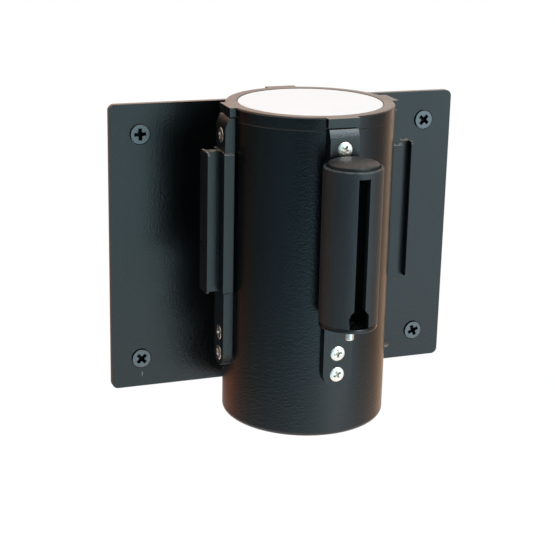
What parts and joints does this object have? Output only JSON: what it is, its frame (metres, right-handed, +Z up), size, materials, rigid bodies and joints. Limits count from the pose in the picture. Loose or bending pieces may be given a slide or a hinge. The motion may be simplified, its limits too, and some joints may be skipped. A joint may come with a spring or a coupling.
{
  "type": "retractable belt barrier unit",
  "caption": "Wall-mounted barrier unit: round housing on a flat plate, sprung spool of belt, slotted belt end over a ledge, T-rail receivers at the sides.",
  "frame": {"origin": "middle of the four wall screws, on the wall plate's back face", "axes": "+Y into the wall along the wall screws, +Z up along the housing, +X to the right seen from the room"},
  "size_m": [0.1728, 0.1301, 0.147],
  "materials": {
    "plate_paint": "satin powder coat",
    "black_screw": "black oxide, satin",
    "housing_coat": "satin textured coat",
    "cap_plastic": "satin moulded",
    "white_disc": "gloss",
    "bracket_plastic": "fine moulded grain",
    "bright_screw": "bright zinc",
    "zinc_steel": "zinc plated",
    "grey_plastic": "moulded",
    "spring_steel": "blued",
    "bronze": "sintered",
    "webbing": "woven",
    "belt_end_plastic": "fine moulded grain",
    "gloss_ledge": "gloss"
  },
  "bodies": {
    "housing": {"wall_plate": "plate_paint", "wall_screws": "black_screw", "plate_screws": "zinc_steel", "housing_tube": "housing_coat", "base_cover": "housing_coat", "base_posts": "zinc_steel", "base_screws": "zinc_steel", "cap_ring": "cap_plastic", "cap_disc": "white_disc", "cap_screws": "zinc_steel", "mouth_bracket": "bracket_plastic", "left_receiver": "bracket_plastic", "right_receiver": "bracket_plastic", "rest_ledge": "gloss_ledge", "ledge_pin": "bright_screw", "front_screws": "bright_screw", "left_screws": "bright_screw", "right_screws": "bright_screw", "front_bar": "zinc_steel", "left_bar": "zinc_steel", "right_bar": "zinc_steel", "back_bar": "zinc_steel", "bar_screws": "zinc_steel", "top_plate": "zinc_steel", "bottom_plate": "zinc_steel", "guide_pins": "bright_screw", "spindle": "bright_screw", "spindle_nuts": "zinc_steel", "spindle_washers": "zinc_steel", "spring_arbor": "grey_plastic", "belt_feed": "webbing"},
    "spool": {"power_spring": "spring_steel", "spring_barrel": "grey_plastic", "barrel_lid": "grey_plastic", "spool_drum": "grey_plastic", "upper_flange": "grey_plastic", "lower_flange": "grey_plastic", "upper_bush": "bronze", "lower_bush": "bronze", "spool_screws": "zinc_steel", "belt_roll": "webbing"},
    "belt_end": {"belt_lead": "webbing", "belt_end_shell": "belt_end_plastic", "belt_end_cap": "belt_end_plastic", "belt_pin": "black_screw"}
  },
  "joints": [
    {"name": "belt_pull", "type": "slide", "parent": "housing", "child": "belt_end", "axis": [0, -1, 0], "range_m": [0, 2.28], "stiffness_N_per_m": 2, "springref_m": -2.5, "deforming": ["belt_lead"]},
    {"name": "spool_spin", "type": "hinge", "parent": "housing", "child": "spool", "pos_m": [-0.003, -0.0405, 0.0212], "axis": [0, 0, 1], "range_deg": [-5363, 0], "deforming": ["power_spring"]}
  ],
  "couplings": [
    {"joint": "spool_spin", "follows": "belt_pull", "rad_per_m": -40.9}
  ]
}
